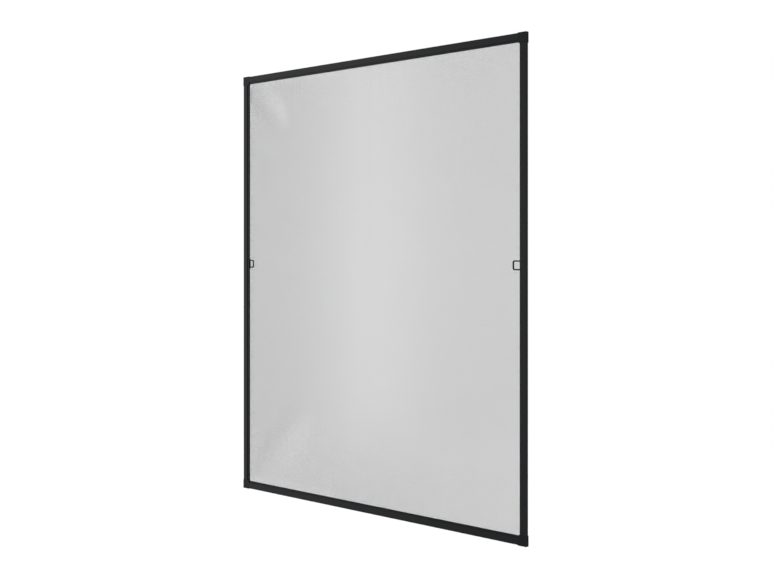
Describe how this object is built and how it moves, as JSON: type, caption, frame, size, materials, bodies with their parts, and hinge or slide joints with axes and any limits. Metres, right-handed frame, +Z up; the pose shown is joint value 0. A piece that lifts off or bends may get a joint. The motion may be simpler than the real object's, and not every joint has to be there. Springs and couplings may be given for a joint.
{
  "type": "window insect screen frame",
  "caption": "Rectangular window insect screen: a slim dark aluminium frame with moulded corner connectors, a see-through woven mesh splined in at the back, and small pull loops at the stiles.",
  "frame": {"origin": "middle of the bottom edge, halfway through the depth", "axes": "+Z up the screen, +X to the right seen from the room, -Y towards the room"},
  "size_m": [1.3, 0.011, 1.5],
  "materials": {
    "powder_coat": "satin, finely textured anthracite powder coat on aluminium",
    "corner_plastic": "moulded, matt",
    "mesh_yarn": "woven fibreglass yarn with a thin plastic coat",
    "cord_plastic": "soft, dull",
    "loop_plastic": "moulded, satin"
  },
  "bodies": {
    "root": {"stile_left": "powder_coat", "stile_right": "powder_coat", "rail_top": "powder_coat", "rail_bottom": "powder_coat", "corner_top_left": "corner_plastic", "corner_top_right": "corner_plastic", "corner_bottom_right": "corner_plastic", "corner_bottom_left": "corner_plastic", "insect_mesh": "mesh_yarn", "spline_cord": "cord_plastic", "pull_loop_left": "loop_plastic", "pull_loop_right": "loop_plastic"}
  },
  "joints": []
}
